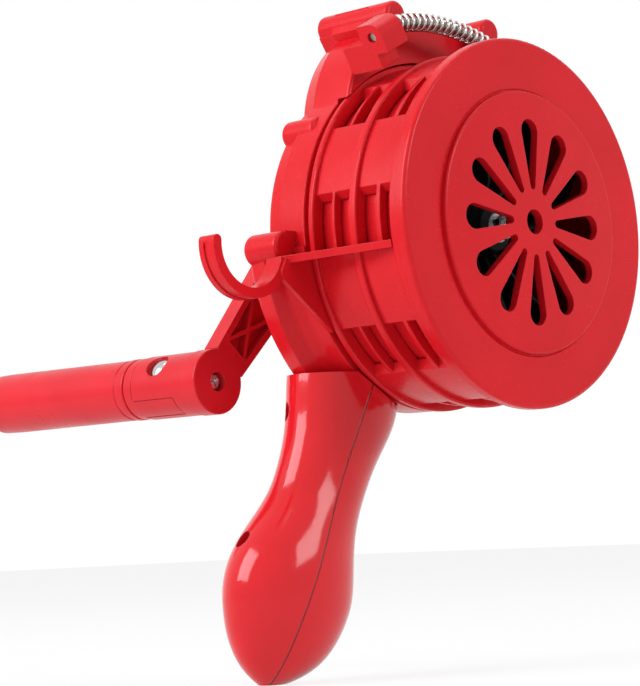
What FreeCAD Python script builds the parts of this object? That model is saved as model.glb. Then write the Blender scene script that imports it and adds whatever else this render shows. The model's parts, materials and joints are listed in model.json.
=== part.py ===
"""Hand crank siren, built as an assembly of separate pieces.

Millimetres. The rotor turns about the Y axis, the sound comes out of the front at -Y, +Z is up
and +X is to the right seen from the front. The origin is on the rotor axis, in the plane of the
flange's front face. Every piece is written as one STEP file in parts/.
"""
import FreeCAD
import Part

import math
import os

V = FreeCAD.Vector
X_AXIS = V(1, 0, 0)
Y_AXIS = V(0, 1, 0)
Z_AXIS = V(0, 0, 1)
ORIGIN = V(0, 0, 0)

# Clearances
RUN = 0.04          # radial, a shaft turning in its bush
PUSH = 0.02         # radial, pieces that are pushed together and stay
GAP = 0.3           # between faces that pass each other

# Front cover
FLANGE_R = 63.0
FLANGE_T = 4.0
DISC_R = 44.75
DISC_STEP = 1.8
DOME_RISE = 0.9
SLOT_COUNT = 12
SLOT_IN_R = 11.0
SLOT_OUT_R = 35.1
SLOT_IN_END = 1.3
SLOT_OUT_END = 4.3
CENTRE_HOLE_R = 4.25

# Stator drum
BORE_R = 56.0
PAD_R = 59.4
RIB_R = 60.9
DRUM_END = 47.0
GROOVE_R = 58.0
PORTS = 8
PORT_HALF = 8.25
RIB_E = (FLANGE_T, 8.6)
RIB_D = (13.8, 15.6)
RIB_C = (23.3, 26.5)
RIB_B = (34.1, 35.4)
RIB_A = (42.6, 44.9)
DRUM_SCREW_R = 51.4

# Gearbox
SEAM_Y = 58.5
COVER_RIM_Y = 66.0
COVER_BACK_Y = 70.2
WALL = 2.5
BAND_R = 60.5
LOBE_Z = 37.5
LOBE_R = 42.0
LOBE_FRONT_Y = 42.0
TOP_BOSS_Y = 33.0
SKIRT_R = 69.2
SKIRT_TOP_Z = -6.0
SKIRT_FOOT_Z = -57.5
FRONT_WALL = (DRUM_END, DRUM_END + 3.2)
SCREW_BOSSES = ((25.0, 74.3, 5.0, TOP_BOSS_Y), (45.0, 35.0, 5.0, 51.5), (65.0, -6.0, 5.5, 51.0))

# Crank
CRANK_Z = 24.0
CRANK_ANGLE = 227.8
CRANK_RADIUS = 97.6
ARM_Y = 86.0
ARM_T = 6.6
HUB_R = 12.5
BOSS_R = 11.3
CRANK_SHAFT_R = 5.0

# Gear train, teeth and modules
SPEED_MODULE = 0.8
CRANK_TEETH = 72
IDLER_PINION_TEETH = 12
ROTOR_MODULE = 0.7
IDLER_TEETH = 60
ROTOR_PINION_TEETH = 12
SHIFT = 0.35
BACKLASH = 0.10
IDLER_PIN_R = 2.0

# Rotor
ROTOR_GAP = 0.4
RING_T = 2.5
RING_Y = (8.0, 43.4)
VANES = 12
VANE_GAP = 1.6
FAN_R = BORE_R - ROTOR_GAP - RING_T - VANE_GAP
SHAFT_R = 2.5
PINION_SEAT_R = 2.0
BUSH_R = 5.0

# Folding grip
NECK_R = 11.0
FOLD_Y = 107.5
FORK_END = FOLD_Y + 11.1
TONGUE_HALF = 3.9
FOLD_PIN_R = 2.0
TONGUE_R = 8.9
SPINDLE_R = 4.0
ROD_INSET = 7.6     # from the grip's far end back to the rod's end
COLLAR_END = 123.0
GRIP_END = 203.0

# Carry spring
SPRING_Y = 28.7
LUG_TILT = 28.0
LUG_LENGTH = 11.5
LUG_LEFT = (-43.0, 63.0)
LEFT_FOOT = 11.0
RIGHT_FOOT = 6.0
ARCH_R = 87.2
BEND_R = 14.5
LEFT_SLOPE = 13.0
RIGHT_SLOPE = 24.5
COIL_R = 2.7
WIRE_R = 0.55
COIL_TURNS = 20
CORE_R = 1.6

# Handle: height, centre in X, centre in Y and half width across the lean
HANDLE_RINGS = ((-44, -29.5, 60, 22.6), (-54, -31.5, 60, 22.4), (-66, -33.8, 60.3, 21.6),
                (-78, -39.7, 60.8, 19.7), (-89, -46.0, 61.3, 19.7), (-100, -53.4, 61.8, 22.2),
                (-111, -58.1, 62.2, 24.6), (-122, -59.6, 62.5, 25.1), (-132.5, -61.0, 62.7, 22.8),
                (-141, -62.7, 62.8, 18.3), (-147.5, -65.1, 62.8, 11.4), (-150.4, -68.0, 62.8, 5.5))
HANDLE_DEPTH = 0.72
HANDLE_WALL = 2.6
SEAM_TURN = 28.0
STUB_SCREWS = ((-34.0, -68.5), (-56.5, -112.0), (-60.5, -134.0))


def polar(radius, degrees):
    """A point in the XZ plane; the angle runs from +X towards +Z."""
    a = math.radians(degrees)
    return radius * math.cos(a), radius * math.sin(a)


def cylinder(radius, y0, y1, x=0.0, z=0.0):
    """A cylinder along Y."""
    return Part.makeCylinder(radius, y1 - y0, V(x, y0, z), Y_AXIS)


def box(x0, x1, y0, y1, z0, z1):
    """A box between two corners."""
    return Part.makeBox(x1 - x0, y1 - y0, z1 - z0, V(x0, y0, z0))


def union(shapes):
    """All shapes fused into one, with needless edges removed."""
    shapes = list(shapes)
    result = shapes[0].fuse(shapes[1:]) if len(shapes) > 1 else shapes[0]
    return result.removeSplitter()


def corner_wire(corners, place):
    """A closed outline whose corners (a, b, radius) are rounded; place(a, b) gives the point."""
    cuts = []
    count = len(corners)
    for i, (a, b, radius) in enumerate(corners):
        here = V(a, b, 0)
        back = V(corners[i - 1][0], corners[i - 1][1], 0) - here
        ahead = V(corners[(i + 1) % count][0], corners[(i + 1) % count][1], 0) - here
        back.normalize()
        ahead.normalize()
        if radius <= 0:
            cuts.append((here, None, here))
            continue
        half = back.getAngle(ahead) / 2
        reach = radius / math.tan(half)
        middle = back + ahead
        middle.normalize()
        bulge = here + middle * (radius / math.sin(half) - radius)
        cuts.append((here + back * reach, bulge, here + ahead * reach))
    edges = []
    for i, (start, bulge, end) in enumerate(cuts):
        if bulge is not None:
            points = [place(p.x, p.y) for p in (start, bulge, end)]
            edges.append(Part.Arc(*points).toShape())
        following = cuts[(i + 1) % count][0]
        if end.distanceToPoint(following) > 1e-6:
            edges.append(Part.makeLine(place(end.x, end.y), place(following.x, following.y)))
    return Part.Wire(edges)


def turned(corners, x=0.0, z=0.0):
    """A solid of revolution about an axis along Y; corners are (r, y) or (r, y, rounding)."""
    full = [(c[0], c[1], c[2] if len(c) > 2 else 0.0) for c in corners]
    wire = corner_wire(full, lambda r, y: V(x + r, y, z))
    return Part.Face(wire).revolve(V(x, 0, z), Y_AXIS, 360)


def plate(corners, y0, y1):
    """An extrusion along Y; corners are (x, z) or (x, z, rounding)."""
    full = [(c[0], c[1], c[2] if len(c) > 2 else 0.0) for c in corners]
    wire = corner_wire(full, lambda x, z: V(x, y0, z))
    return Part.Face(wire).extrude(V(0, y1 - y0, 0))


def turn_about(shape, degrees, x=0.0, z=0.0):
    """A copy turned in the XZ plane from +X towards +Z."""
    copy = shape.copy()
    copy.rotate(V(x, 0, z), Y_AXIS, -degrees)
    return copy


def mirrored(shape):
    """The same shape on the other side of the YZ plane."""
    return shape.mirror(ORIGIN, X_AXIS)


def save(name, shape):
    """Writes one piece as STEP."""
    solids = shape.Solids
    if len(solids) == 1:
        shape = solids[0]
    shape.exportStep("parts/%s.step" % name)


def circle_link(r0, x0, r1, x1):
    """Outline of two circles on the X axis joined by their common tangents, as edges' points."""
    lean = math.acos((r0 - r1) / (x1 - x0))
    c, s = math.cos(lean), math.sin(lean)
    return ((x0 + r0 * c, r0 * s), (x0 - r0, 0), (x0 + r0 * c, -r0 * s),
            (x1 + r1 * c, -r1 * s), (x1 + r1, 0), (x1 + r1 * c, r1 * s))


def teardrop(r0, x0, r1, x1, y0, y1, degrees):
    """A prism with that outline, turned about the rotor axis."""
    a, b, c, d, e, f = (V(p[0], y0, p[1]) for p in circle_link(r0, x0, r1, x1))
    wire = Part.Wire([Part.Arc(a, b, c).toShape(), Part.makeLine(c, d),
                      Part.Arc(d, e, f).toShape(), Part.makeLine(f, a)])
    return turn_about(Part.Face(wire).extrude(V(0, y1 - y0, 0)), degrees)


# Gears

def gear_blank(module, teeth, shift, y0, y1, phase):
    """An involute spur gear, 20 degree pressure angle, with one tooth centred on phase."""
    pressure = math.radians(20)
    pitch_r = module * teeth / 2
    base_r = pitch_r * math.cos(pressure)
    tip_r = module * (teeth / 2 + 0.95 + shift)
    root_r = module * (teeth / 2 - 1.25 + shift)
    thickness = module * (math.pi / 2 + 2 * shift * math.tan(pressure)) - BACKLASH / 2
    half_at_base = thickness / (2 * pitch_r) + math.tan(pressure) - pressure

    def flank(radius, side, centre):
        limited = max(radius, base_r)
        roll = math.acos(base_r / limited)
        angle = centre + side * (half_at_base - (math.tan(roll) - roll))
        return V(radius * math.cos(angle), y0, radius * math.sin(angle))

    start_r = max(base_r, root_r)
    pitch = 2 * math.pi / teeth
    edges = []
    for i in range(teeth):
        centre = math.radians(phase) + i * pitch
        up = [flank(start_r + (tip_r - start_r) * k / 2, -1, centre) for k in range(3)]
        down = [flank(start_r + (tip_r - start_r) * k / 2, 1, centre) for k in (2, 1, 0)]
        root_up = flank(root_r, -1, centre)
        root_down = flank(root_r, 1, centre)
        root_next = flank(root_r, -1, centre + pitch)
        if root_r < start_r - 1e-6:
            edges.append(Part.makeLine(root_up, up[0]))
        edges.append(Part.Arc(*up).toShape())
        edges.append(Part.makeLine(up[-1], down[0]))
        edges.append(Part.Arc(*down).toShape())
        if root_r < start_r - 1e-6:
            edges.append(Part.makeLine(down[-1], root_down))
        edges.append(Part.makeLine(root_down, root_next))
    return Part.Face(Part.Wire(edges)).extrude(V(0, y1 - y0, 0))


def gear_positions():
    """Idler centre and the two mesh directions, from the teeth and the crank height."""
    far = SPEED_MODULE * (CRANK_TEETH + IDLER_PINION_TEETH) / 2
    near = ROTOR_MODULE * (IDLER_TEETH + ROTOR_PINION_TEETH) / 2
    z = (near ** 2 - far ** 2 + CRANK_Z ** 2) / (2 * CRANK_Z)
    x = -math.sqrt(near ** 2 - z ** 2)
    crank_to_idler = math.degrees(math.atan2(z - CRANK_Z, x))
    idler_to_rotor = math.degrees(math.atan2(-z, -x))
    return x, z, crank_to_idler, idler_to_rotor


IDLER_X, IDLER_Z, TO_IDLER, TO_ROTOR = gear_positions()


def rotor_pinion():
    """Steel pinion pushed on the back end of the rotor shaft."""
    phase = TO_ROTOR + 180 + 180 / ROTOR_PINION_TEETH
    blank = gear_blank(ROTOR_MODULE, ROTOR_PINION_TEETH, SHIFT, 51.3, 55.8, phase)
    return blank.cut(cylinder(PINION_SEAT_R + PUSH, 50, 57))


def idler_gear():
    """Large idler wheel with a thin web, five windows and a hub around the small pinion's tail."""
    blank = gear_blank(ROTOR_MODULE, IDLER_TEETH, -SHIFT, 51.0, 55.0, TO_ROTOR)
    hollow = turned([(6.2, 50), (17.6, 50), (17.6, 52.1, 0.6), (6.2, 52.1, 0.6)])
    back = turned([(6.2, 56), (17.6, 56), (17.6, 53.9, 0.6), (6.2, 53.9, 0.6)])
    windows = [turn_about(cylinder(2.6, 50, 56, 11.8, 0), 72 * i) for i in range(5)]
    wheel = blank.cut([hollow, back, cylinder(3.4 + PUSH, 50, 56)] + windows)
    wheel.translate(V(IDLER_X, 0, IDLER_Z))
    return wheel


def idler_pinion():
    """Small pinion with a round tail that carries the large idler wheel."""
    phase = TO_IDLER + 180 + 180 / IDLER_PINION_TEETH
    teeth = gear_blank(SPEED_MODULE, IDLER_PINION_TEETH, SHIFT, 55.0, 63.2, phase)
    pinion = union([teeth, cylinder(3.4, 51.0, 55.0)]).cut(cylinder(IDLER_PIN_R + RUN, 50, 64))
    pinion.translate(V(IDLER_X, 0, IDLER_Z))
    return pinion


def crank_gear():
    """Largest wheel: toothed rim, ribbed web with six windows and a hub on the crank shaft."""
    blank = gear_blank(SPEED_MODULE, CRANK_TEETH, -SHIFT, 57.5, 62.5, TO_IDLER)
    front = turned([(9.0, 56), (25.2, 56), (25.2, 59.0, 0.6), (9.0, 59.0, 0.6)])
    back = turned([(9.0, 64), (25.2, 64), (25.2, 61.0, 0.6), (9.0, 61.0, 0.6)])
    ribs = [turn_about(box(8.5, 25.6, 57.9, 62.1, -0.8, 0.8), 60 * i + 30) for i in range(6)]
    windows = [turn_about(cylinder(4.6, 56, 64, 17.2, 0), 60 * i) for i in range(6)]
    wheel = union([blank.cut([front, back] + windows)] + ribs)
    wheel = wheel.cut(cylinder(CRANK_SHAFT_R + PUSH, 56, 64))
    wheel.translate(V(0, 0, CRANK_Z))
    return wheel


# Front and stator

def front_cover():
    """Flange and raised domed disc with the ring of teardrop sound slots."""
    face_y = -DISC_STEP
    nose = face_y - DOME_RISE
    mid = nose + DOME_RISE * 0.3
    front = [Part.Arc(V(CENTRE_HOLE_R, nose, 0), V(24.0, mid, 0), V(DISC_R - 0.8, face_y, 0)),
             Part.Arc(V(DISC_R - 0.8, face_y, 0), V(DISC_R - 0.23, face_y + 0.23, 0),
                      V(DISC_R, face_y + 0.8, 0))]
    edges = [arc.toShape() for arc in front]
    path = ((DISC_R, 0.3), (DISC_R + 0.5, 0.3), (DISC_R + 0.9, 0.0), (FLANGE_R - 1.4, 0.0))
    points = [V(DISC_R, face_y + 0.8, 0)] + [V(r, y, 0) for r, y in path]
    edges += [Part.makeLine(a, b) for a, b in zip(points, points[1:])]
    edges.append(Part.Arc(V(FLANGE_R - 1.4, 0, 0), V(FLANGE_R - 0.41, 0.41, 0),
                          V(FLANGE_R, 1.4, 0)).toShape())
    lip = BORE_R - 0.1
    path = ((FLANGE_R, FLANGE_T), (lip, FLANGE_T), (lip, FLANGE_T + 2.6),
            (lip - 2.2, FLANGE_T + 2.6), (lip - 2.2, 2.6), (DISC_R - 2.4, 2.6),
            (DISC_R - 2.4, 0.5), (CENTRE_HOLE_R, 0.5))
    points = [V(FLANGE_R, 1.4, 0)] + [V(r, y, 0) for r, y in path]
    edges += [Part.makeLine(a, b) for a, b in zip(points, points[1:])]
    edges.append(Part.makeLine(V(CENTRE_HOLE_R, 0.5, 0), V(CENTRE_HOLE_R, nose, 0)))
    cover = Part.Face(Part.Wire(edges)).revolve(ORIGIN, Y_AXIS, 360)
    slots = [teardrop(SLOT_IN_END, SLOT_IN_R + SLOT_IN_END, SLOT_OUT_END,
                      SLOT_OUT_R - SLOT_OUT_END, -5, 3, 90 + 360 / SLOT_COUNT * i)
             for i in range(SLOT_COUNT)]
    return cover.cut(slots)


def stator_drum():
    """Drum with eight sound ports, crossed by guard ribs, and thick pads between the ports."""
    shell = turned([(BORE_R, RIB_E[0]), (RIB_R, RIB_E[0]), (RIB_R, RIB_E[1], 0.7),
                    (PAD_R, RIB_E[1]), (PAD_R, RIB_A[0]), (RIB_R, RIB_A[0], 0.7),
                    (RIB_R, RIB_A[1], 0.7), (GROOVE_R, RIB_A[1]), (GROOVE_R, DRUM_END),
                    (46.5, DRUM_END), (46.5, DRUM_END - 2.8), (BORE_R, DRUM_END - 2.8)])
    ramp = PORT_HALF + (PAD_R - BORE_R)
    reach = 3.0
    cutter = plate([(BORE_R - reach, -PORT_HALF), (BORE_R, -PORT_HALF),
                    (PAD_R + reach, -ramp - reach), (PAD_R + reach, ramp + reach),
                    (BORE_R, PORT_HALF), (BORE_R - reach, PORT_HALF)], RIB_E[1], RIB_A[0])
    ports = [turn_about(cutter, 360 / PORTS * i) for i in range(PORTS)]
    rings = [turned([(BORE_R, y0), (PAD_R, y0, 0.3), (PAD_R, y1, 0.3), (BORE_R, y1)])
             for y0, y1 in (RIB_D, RIB_B)]
    rings.append(turned([(BORE_R, RIB_C[0]), (RIB_R, RIB_C[0], 0.8), (RIB_R, RIB_C[1], 0.8),
                         (BORE_R, RIB_C[1])]))
    drum = union([shell.cut(ports)] + rings)
    pilots = [cylinder(1.1, DRUM_END - 4, DRUM_END + 1, *polar(DRUM_SCREW_R, 45 + 90 * i))
              for i in range(4)]
    return drum.cut(pilots)


def belt_hook(drum):
    """Side hook: J shaped band, a fin along the drum and a gusset in the drum's groove."""
    cx, cz, r_in, r_out = -86.0, -7.5, 13.7, 17.2
    y0, y1 = 46.2, 53.2
    bend = cylinder(r_out, y0, y1, cx, cz).cut(
        [cylinder(r_in, y0 - 1, y1 + 1, cx, cz), cylinder(r_out, 48.4, 51.0, cx, cz).cut(
            cylinder(r_out - 0.5, 48, 52, cx, cz))])
    keep = plate([(cx, cz), (cx + 30, cz - 6.4), (cx + 30, cz - 40), (cx - 40, cz - 40),
                  (cx - 40, cz + 3.0)], y0 - 1, y1 + 1)
    bend = bend.common(keep)
    mid_r = (r_in + r_out) / 2
    tip_x, tip_z = polar(mid_r, 180 - math.degrees(math.atan2(3.0, 40)))
    tip = cylinder((r_out - r_in) / 2, y0, y1, cx + tip_x, cz + tip_z)
    fin_points = [(56.4, 8.7), (61.0, 8.7), (66.0, 30.0), (71.6, 46.2), (72.4, 50.7),
                  (62.4, 50.7), (62.4, 46.6), (56.4, 46.6)]
    wire = Part.makePolygon([V(r, y, -1.3) for r, y in fin_points + fin_points[:1]])
    fin = turn_about(Part.Face(wire).extrude(V(0, 0, 2.6)), 189.0)
    gusset = plate([(-55.5, -8.9), (-71.5, -11.0), (-74.6, -16.8, 3.0), (-50.4, -35.0, 1.0),
                    (-46.0, -30.6)], 45.1, 46.9)
    hook = union([bend, tip, fin, gusset])
    hook = hook.cut([drum, cylinder(GROOVE_R, 40, DRUM_END), cylinder(BORE_R + 0.6, 0, 48)])
    return hook


# Gearbox

def skirt(corners):
    """The wider lower part of the gearbox: a revolve from its shoulder down to a flat foot."""
    return turned(corners).common(box(-90, 90, 20, 90, SKIRT_FOOT_Z, SKIRT_TOP_Z))


def skirt_hollow(corners):
    """Room inside that wider part, one wall thickness in."""
    return turned(corners).common(
        box(-90, 90, 20, 90, SKIRT_FOOT_Z + WALL, SKIRT_TOP_Z - WALL))


def lug_profile(length, foot_depth):
    """Lug in its own axes: X along its bore, arched top, and a foot back to the lobe."""
    r = 4.7
    y0 = SPRING_Y - r
    y1 = SPRING_Y + r + 0.2
    left = [V(0, y0, -6.0), V(0, y0, 0), V(0, SPRING_Y - r * math.sqrt(0.5), r * math.sqrt(0.5)),
            V(0, SPRING_Y, r), V(0, y1, r), V(0, y1, -6.0)]
    wire = Part.Wire([Part.makeLine(left[0], left[1]), Part.Arc(*left[1:4]).toShape(),
                      Part.makeLine(left[3], left[4]), Part.makeLine(left[4], left[5]),
                      Part.makeLine(left[5], left[0])])
    block = Part.Face(wire).extrude(V(length, 0, 0))
    block = union([block, box(0, length - 2.0, SPRING_Y, LOBE_FRONT_Y + 0.8, -foot_depth, -1.5)])
    return block.cut(Part.makeCylinder(CORE_R + 0.15, length + 4, V(-2, SPRING_Y, 0), X_AXIS))


def place_lug(shape, point, degrees):
    """Puts a lug shape at a point of the XZ plane, turned from +X towards +Z."""
    copy = shape.copy()
    copy.rotate(ORIGIN, Y_AXIS, -degrees)
    copy.translate(V(point[0], 0, point[1]))
    return copy


def gearbox_body(path):
    """Front half of the gearbox: band, lobe over the drum, screw bosses and carry lugs."""
    back = SEAM_Y
    lobe = turned([(0, LOBE_FRONT_Y), (LOBE_R, LOBE_FRONT_Y, 1.2), (LOBE_R, back), (0, back)],
                  0, LOBE_Z).cut(cylinder(RIB_R + 0.5, 20, DRUM_END))
    band = turned([(0, DRUM_END), (BAND_R, DRUM_END, 0.5), (BAND_R, back), (0, back)])
    flare = skirt([(40, DRUM_END), (61.4, DRUM_END, 0.5), (62.0, 52.0, 4.0), (64.6, 55.6, 3.0),
                   (SKIRT_R, back), (40, back)])
    outer = [lobe, band, flare]
    for x, z, r, y0 in SCREW_BOSSES:
        for side in (-1, 1):
            outer.append(turned([(0, y0), (r, y0, 1.4), (r, back), (0, back)], side * x, z))
    shoulder = box(54, 65.5, 51.0, back, -11.4, -0.6)
    web = plate([(17.0, 74.0), (28.5, 78.4), (30.5, 71.0), (26.0, 66.0)], LOBE_FRONT_Y + 1, back)
    outer += [shoulder, mirrored(shoulder), web, mirrored(web)]
    outer.append(place_lug(lug_profile(LUG_LENGTH, LEFT_FOOT), LUG_LEFT, LUG_TILT))
    right = lug_profile(LUG_LENGTH, RIGHT_FOOT)
    outer.append(place_lug(right, path["right_start"], -LUG_TILT))
    body = union(outer)

    inside = cylinder(LOBE_R - WALL, LOBE_FRONT_Y + WALL, back + 1, 0, LOBE_Z)
    inside = inside.cut(cylinder(RIB_R + 0.5 + WALL, 20, FRONT_WALL[1]))
    room = cylinder(BAND_R - 2.7, FRONT_WALL[1], back + 1)
    low = skirt_hollow([(40, FRONT_WALL[1]), (59.0, FRONT_WALL[1]), (60.4, 54.5),
                        (SKIRT_R - 2.8, back + 1), (40, back + 1)])
    solid_bosses = []
    for x, z, r, y0 in SCREW_BOSSES[:2]:
        for side in (-1, 1):
            solid_bosses.append(cylinder(r, max(y0 + 1, FRONT_WALL[1] - 8), back, side * x, z))
    hollow = union([inside, room, low]).cut(solid_bosses)
    body = body.cut(hollow)

    tower = turned([(BUSH_R, 35.4), (8.4, 35.4, 0.6), (8.4, 46.0), (11.0, 47.2), (11.0, 50.6),
                    (BUSH_R, 50.6)])
    core_ribs = [turn_about(box(8.0, 56.0, 49.6, 52.2, -0.9, 0.9), a) for a in (-20, -75, 245)]
    pin_boss = cylinder(4.5, 47.5, 50.8, IDLER_X, IDLER_Z)
    pivot = cylinder(6.0, 48.0, 56.6, 0, CRANK_Z)
    body = union([body.cut(cylinder(BUSH_R, 30, 60)), tower, pin_boss, pivot] + core_ribs)
    cuts = [cylinder(BUSH_R + PUSH, 30, 60), cylinder(IDLER_PIN_R + PUSH, 48.0, 52, IDLER_X, IDLER_Z),
            cylinder(3.0 + RUN, 50.6, 60, 0, CRANK_Z)]
    for i in range(4):
        cuts.append(cylinder(1.6, 40, 52, *polar(DRUM_SCREW_R, 45 + 90 * i)))
    for x, z, r, y0 in SCREW_BOSSES:
        for side in (-1, 1):
            cuts.append(cylinder(1.1, back - 6.5, back + 1, side * x, z))
    return body.cut(cuts)


def cover_ring(r_low, r_rim, x, z, inset=0.0):
    """A rounded lid shape about one axis, or the room inside it when inset is given."""
    y0 = SEAM_Y - (1 if inset else 0)
    top = COVER_BACK_Y - inset
    rim = COVER_RIM_Y - inset
    return turned([(0, y0), (r_low - inset, y0), (r_rim - inset, rim, 2.5),
                   (r_rim - 8 - inset, top, 6.0), (0, top)], x, z)


def gearbox_cover(stub_frame):
    """Rear half of the gearbox: rounded lid, crank bearing boss and the stub for the handle."""
    low_box = box(-90, 90, 50, 90, SKIRT_FOOT_Z, SKIRT_TOP_Z)
    lids = [cover_ring(BAND_R - 1.6, BAND_R - 2.6, 0, 0),
            cover_ring(LOBE_R, LOBE_R - 3.0, 0, LOBE_Z),
            cover_ring(SKIRT_R, SKIRT_R - 0.8, 0, 0).common(low_box)]
    outer = list(lids)
    for x, z, r, y0 in SCREW_BOSSES:
        for side in (-1, 1):
            outer.append(turned([(0, SEAM_Y), (r, SEAM_Y), (r, COVER_RIM_Y + 0.6, 1.6),
                                 (0, COVER_RIM_Y + 0.6)], side * x, z))
    shoulder = box(54, 65.0, SEAM_Y, COVER_RIM_Y - 0.6, -11.4, -0.6)
    web = plate([(17.0, 73.0), (27.0, 77.6), (29.0, 71.0), (25.0, 65.0)], SEAM_Y, COVER_RIM_Y)
    outer += [shoulder, mirrored(shoulder), web, mirrored(web)]
    outer.append(turned([(0, 66), (17.5, 66), (17.5, COVER_BACK_Y + 0.8, 1.0), (14.4, 72.0, 1.5),
                         (12.6, 83.6, 0.8), (0, 83.6)], 0, CRANK_Z))
    outer.append(stub_frame["stub"])
    cover = union(outer)

    rooms = [cover_ring(BAND_R - 1.6, BAND_R - 2.6, 0, 0, WALL),
             cover_ring(LOBE_R, LOBE_R - 3.0, 0, LOBE_Z, WALL),
             cover_ring(SKIRT_R, SKIRT_R - 0.8, 0, 0, WALL).common(
                 box(-90, 90, 50, 90, SKIRT_FOOT_Z + WALL, SKIRT_TOP_Z - WALL))]
    solid_bosses = []
    for x, z, r, y0 in SCREW_BOSSES[:2]:
        for side in (-1, 1):
            solid_bosses.append(cylinder(r, SEAM_Y, COVER_RIM_Y, side * x, z))
    cover = cover.cut(union(rooms).cut(solid_bosses))
    pin_boss = cylinder(4.5, 63.5, COVER_BACK_Y - 1, IDLER_X, IDLER_Z)
    ribs = [turn_about(box(16.0, 33.0, 64.4, 68.6, -0.9, 0.9), a, 0, 0) for a in (0, 60, 120, 180)]
    for rib in ribs:
        rib.translate(V(0, 0, CRANK_Z))
    cover = union([cover, pin_boss] + ribs)
    cuts = [cylinder(7.0 + PUSH, 60, 90, 0, CRANK_Z),
            cylinder(IDLER_PIN_R + PUSH, 60, 67.4, IDLER_X, IDLER_Z)] + stub_frame["stub_holes"]
    for x, z, r, y0 in SCREW_BOSSES:
        for side in (-1, 1):
            cuts.append(cylinder(1.7, SEAM_Y - 1, 70, side * x, z))
            cuts.append(cylinder(3.1, COVER_RIM_Y - 1.8, 72, side * x, z))
    return cover.cut(cuts)


# Handle

def ellipse_ring(x, y, z, a, b):
    """A level ellipse as a wire."""
    curve = Part.Ellipse(V(x + a, y, z), V(x, y + b, z), V(x, y, z))
    if b > a:
        curve = Part.Ellipse(V(x, y + b, z), V(x + a, y, z), V(x, y, z))
    return Part.Wire([curve.toShape()])


def handle_form(inset, low_cut):
    """The pistol grip as one smooth form, shrunk by inset."""
    wires = []
    for z, x, y, half in HANDLE_RINGS[:len(HANDLE_RINGS) - low_cut]:
        wires.append(ellipse_ring(x, y, z, half - inset, half * HANDLE_DEPTH - inset))
    return Part.makeLoft(wires, True, False)


def handle_frame():
    """Seam plane of the handle, its screw line directions and the gearbox stub."""
    run = V(-40, 4, -87)
    run.normalize()
    across = V(-math.sin(math.radians(SEAM_TURN)), -math.cos(math.radians(SEAM_TURN)), 0)
    normal = run.cross(across)
    normal.normalize()
    if normal.x > 0:
        normal = normal * -1
    origin = V(-42.0, 61.3, -89.0)

    def on_seam(x, z):
        """The point of the seam plane below this x and z."""
        y = origin.y - (normal.x * (x - origin.x) + normal.z * (z - origin.z)) / normal.y
        return V(x, y, z)

    stub = box(-4.8, 6.5, SEAM_Y + 0.1, 69.4, -19.0, 7.0)
    stub.rotate(ORIGIN, Y_AXIS, 14.0)
    stub.translate(V(-31.5, 0, -62.0))
    frame = {"normal": normal, "origin": origin, "on_seam": on_seam}
    screw = on_seam(*STUB_SCREWS[0])
    frame["stub"] = stub
    frame["stub_holes"] = [Part.makeCylinder(1.7, 60, screw - normal * 30, normal)]
    return frame


def half_space(frame, side):
    """A large block on one side of the handle's seam plane."""
    block = box(-150, 150, -150, 150, 0, 150)
    turn = FreeCAD.Rotation(Z_AXIS, frame["normal"] * side)
    block.Placement = FreeCAD.Placement(frame["origin"], turn)
    return block


def handle_shells(frame, body, cover):
    """Two hollow half shells that meet on the seam plane and clamp the gearbox stub."""
    slope = [(70.4, -30.0), (100.0, -30.0), (100.0, -84.0), (87.0, -66.0), (80.0, -54.5),
             (74.0, -48.6), (70.4, -47.5)]
    wire = Part.makePolygon([V(-90, y, z) for y, z in slope + slope[:1]])
    above = Part.Face(wire).extrude(V(120, 0, 0))
    below = above.copy()
    below.translate(V(0, -2.0, -2.9))
    outside = handle_form(0.0, 0).cut(above)
    inside = handle_form(HANDLE_WALL, 1).cut(below)
    keep_off = [cylinder(BAND_R - 1.0, 40, 70.4), cylinder(61.6, 40, 52.4), body, cover,
                turned([(0, 52.4), (62.2, 52.4), (64.9, 55.9), (SKIRT_R + 0.1, SEAM_Y),
                        (SKIRT_R + 0.1, COVER_RIM_Y), (0, COVER_RIM_Y)]).common(
                            box(-90, 90, 20, 90, SKIRT_FOOT_Z, 0)),
                box(-80, 20, 40, 100, -47.5, -30)]
    shells = []
    normal = frame["normal"]
    for side in (-1, 1):
        walls = outside.cut(inside.cut(box(-80, 20, 40, 100, -50.4, -30)))
        bosses = []
        for x, z in STUB_SCREWS:
            middle = frame["on_seam"](x, z)
            bosses.append(Part.makeCylinder(4.2, 40, middle, normal * side).common(outside))
        half = union([walls] + bosses).common(half_space(frame, side))
        half = half.cut(keep_off)
        holes = []
        for x, z in STUB_SCREWS:
            middle = frame["on_seam"](x, z)
            if side < 0:
                holes.append(Part.makeCylinder(1.1, 9.0, middle, normal * side))
            else:
                holes.append(Part.makeCylinder(1.7, 60, middle, normal * side))
                holes.append(Part.makeCylinder(3.2, 60, middle + normal * 6.0, normal))
        half = half.cut(holes)
        solids = sorted(half.Solids, key=lambda s: s.Volume)
        shells.append(solids[-1])
    return shells


def handle_screws(frame):
    """Three screws through the seam, heads sunk in the left shell."""
    normal = frame["normal"]
    made = []
    for x, z in STUB_SCREWS:
        middle = frame["on_seam"](x, z)
        shank = Part.makeCylinder(1.1 - PUSH, 13.5, middle - normal * 8.5, normal)
        neck = Part.makeCylinder(1.5, 6.0, middle, normal)
        head = Part.makeCylinder(2.8, 1.6, middle + normal * 6.0, normal)
        made.append(union([shank, neck, head]))
    return Part.makeCompound(made)


# Rotor

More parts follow.
